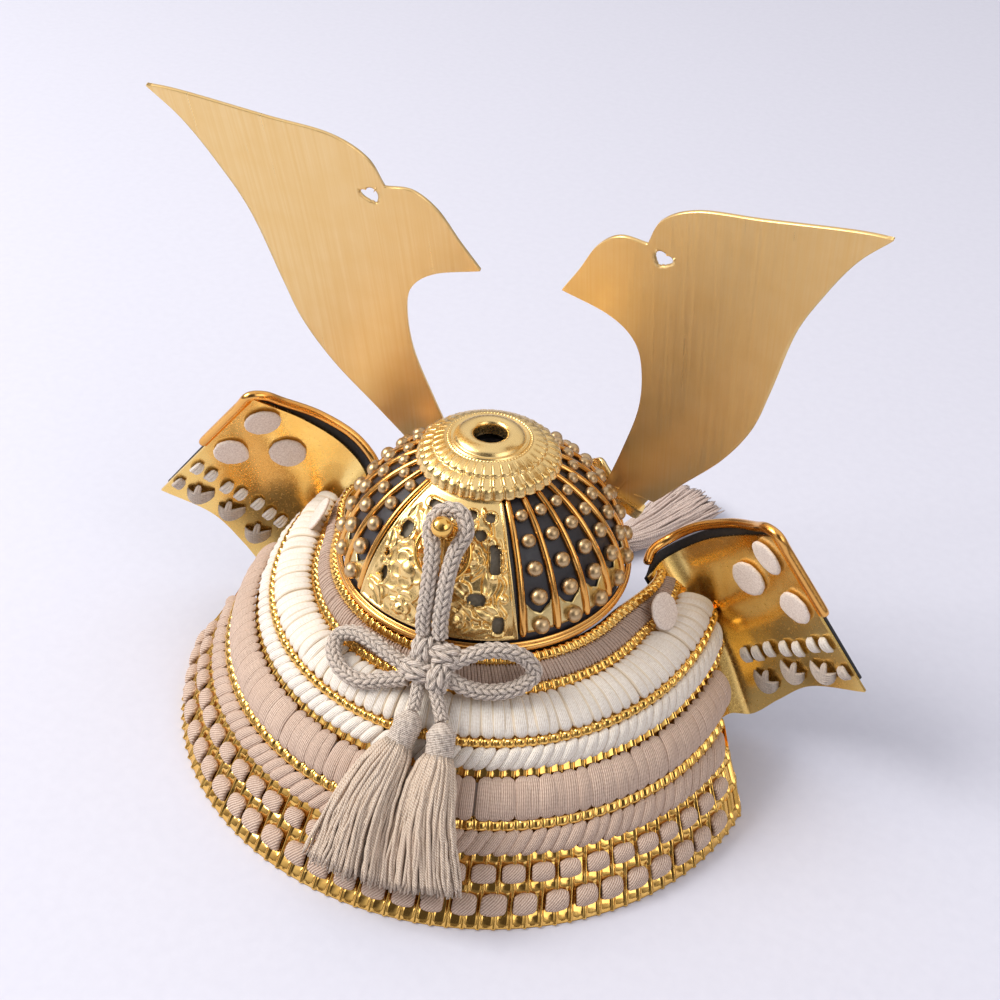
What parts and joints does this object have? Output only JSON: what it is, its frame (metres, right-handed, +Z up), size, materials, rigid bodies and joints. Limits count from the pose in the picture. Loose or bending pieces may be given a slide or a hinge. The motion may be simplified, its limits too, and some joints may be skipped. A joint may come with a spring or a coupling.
{
  "type": "ornamental samurai helmet",
  "caption": "Miniature kabuto for display: a ribbed and riveted bowl, a laced neck guard, turned-back wings, tall slide-in horns and tied silk cords with tassels.",
  "frame": {"origin": "middle of the underside of all that stands firm, where the lowest lame meets the surface", "axes": "+Z up, -Y to the front of the helmet, +X to the wearer's left"},
  "size_m": [0.2126, 0.2062, 0.1712],
  "materials": {
    "black_lacquer": "near-black satin lacquer; the ribs, fence plates and rivets on it are gold",
    "gold": "polished gold plate",
    "satin_gold": "satin gold plate, pierced and chased",
    "brushed_gold": "gold plate brushed along its length",
    "black_backing": "thin black backing",
    "white_silk": "flat white silk braid",
    "beige_silk": "flat pinkish beige silk braid",
    "suede": "loose pale suede discs",
    "taupe_cord": "braided grey-taupe silk cord",
    "chin_silk": "braided cream-beige silk cord"
  },
  "bodies": {
    "helmet": {"bowl": "black_lacquer", "rim_ring": "gold", "crown_ornament": "satin_gold", "back_plate": "satin_gold", "ring_post": "gold", "hanging_ring": "gold", "visor": "gold", "horn_holder": "gold", "lame_1": "gold", "lame_2": "gold", "lame_3": "gold", "lacing_beige_top": "beige_silk", "lacing_white_wide": "white_silk", "lacing_white_narrow": "white_silk", "lacing_beige_wide": "beige_silk", "lacing_beige_narrow": "beige_silk", "tufts_upper": "beige_silk", "tufts_lower": "beige_silk", "wing_plate_left": "gold", "wing_plate_right": "gold", "wing_backing_left": "black_backing", "wing_backing_right": "black_backing", "wing_rim_left": "gold", "wing_rim_right": "gold", "wing_disc_top_left": "suede", "wing_disc_top_right": "suede", "wing_disc_outer_left": "suede", "wing_disc_outer_right": "suede", "wing_disc_inner_left": "suede", "wing_disc_inner_right": "suede", "lame_disc_left": "suede", "lame_disc_right": "suede", "cord_hanger": "taupe_cord", "cord_loop_left": "taupe_cord", "cord_loop_right": "taupe_cord", "cord_knot": "taupe_cord", "cord_tail_left": "taupe_cord", "cord_tail_right": "taupe_cord", "tassel_left": "taupe_cord", "tassel_right": "taupe_cord", "chin_cord_left": "chin_silk", "chin_cord_right": "chin_silk", "chin_tail_left": "chin_silk", "chin_tail_right": "chin_silk", "chin_tassel_left": "chin_silk", "chin_tassel_right": "chin_silk", "chin_knot": "chin_silk"},
    "left_horn": {"horn_left": "brushed_gold"},
    "right_horn": {"horn_right": "brushed_gold"}
  },
  "joints": [
    {"name": "horn_left_slide", "type": "slide", "parent": "helmet", "child": "left_horn", "axis": [0.4301, 0.2401, 0.8703], "range_m": [0, 0.008]},
    {"name": "horn_right_slide", "type": "slide", "parent": "helmet", "child": "right_horn", "axis": [-0.4301, 0.2401, 0.8703], "range_m": [0, 0.008]}
  ]
}
